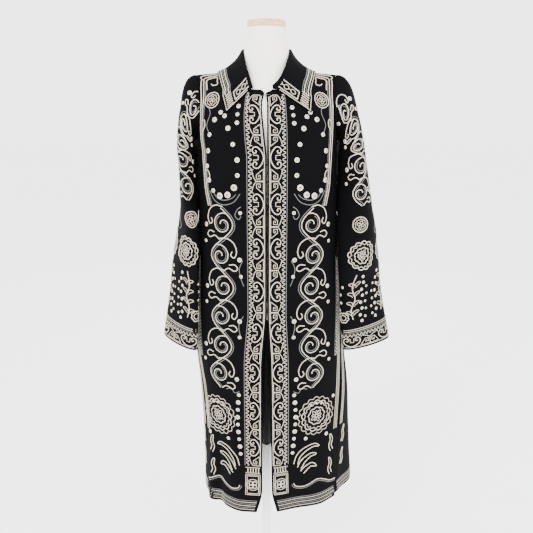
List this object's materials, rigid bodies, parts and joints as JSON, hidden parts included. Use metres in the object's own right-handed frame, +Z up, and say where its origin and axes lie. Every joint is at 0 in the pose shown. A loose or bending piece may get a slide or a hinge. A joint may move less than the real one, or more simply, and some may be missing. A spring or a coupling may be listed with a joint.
{
  "type": "long jacket on a dress form",
  "caption": "Long black jacket with a wide shirt collar, an open front hooked at the neck and side slits, worn by a limbless white dress form on a round stand.",
  "frame": {"origin": "centre of the round base's underside, on the floor under the pole", "axes": "+Z up along the pole, -Y is the jacket's front, +X is the viewer's right"},
  "size_m": [0.5985, 0.34, 1.5804],
  "materials": {
    "black_cloth": "matt woven",
    "dark_wire": "black lacquered wire",
    "form_cover": "smooth white jersey",
    "light_wood": "satin varnish",
    "polished_steel": "polished",
    "white_paint": "satin"
  },
  "bodies": {
    "root": {"front_left": "black_cloth", "front_right": "black_cloth", "back": "black_cloth", "collar": "black_cloth", "sleeve_left": "black_cloth", "sleeve_right": "black_cloth", "hook": "dark_wire", "eye": "dark_wire", "dress_form": "form_cover", "neck_cap": "light_wood", "stand_pole": "polished_steel", "stand_base": "white_paint"}
  },
  "joints": []
}
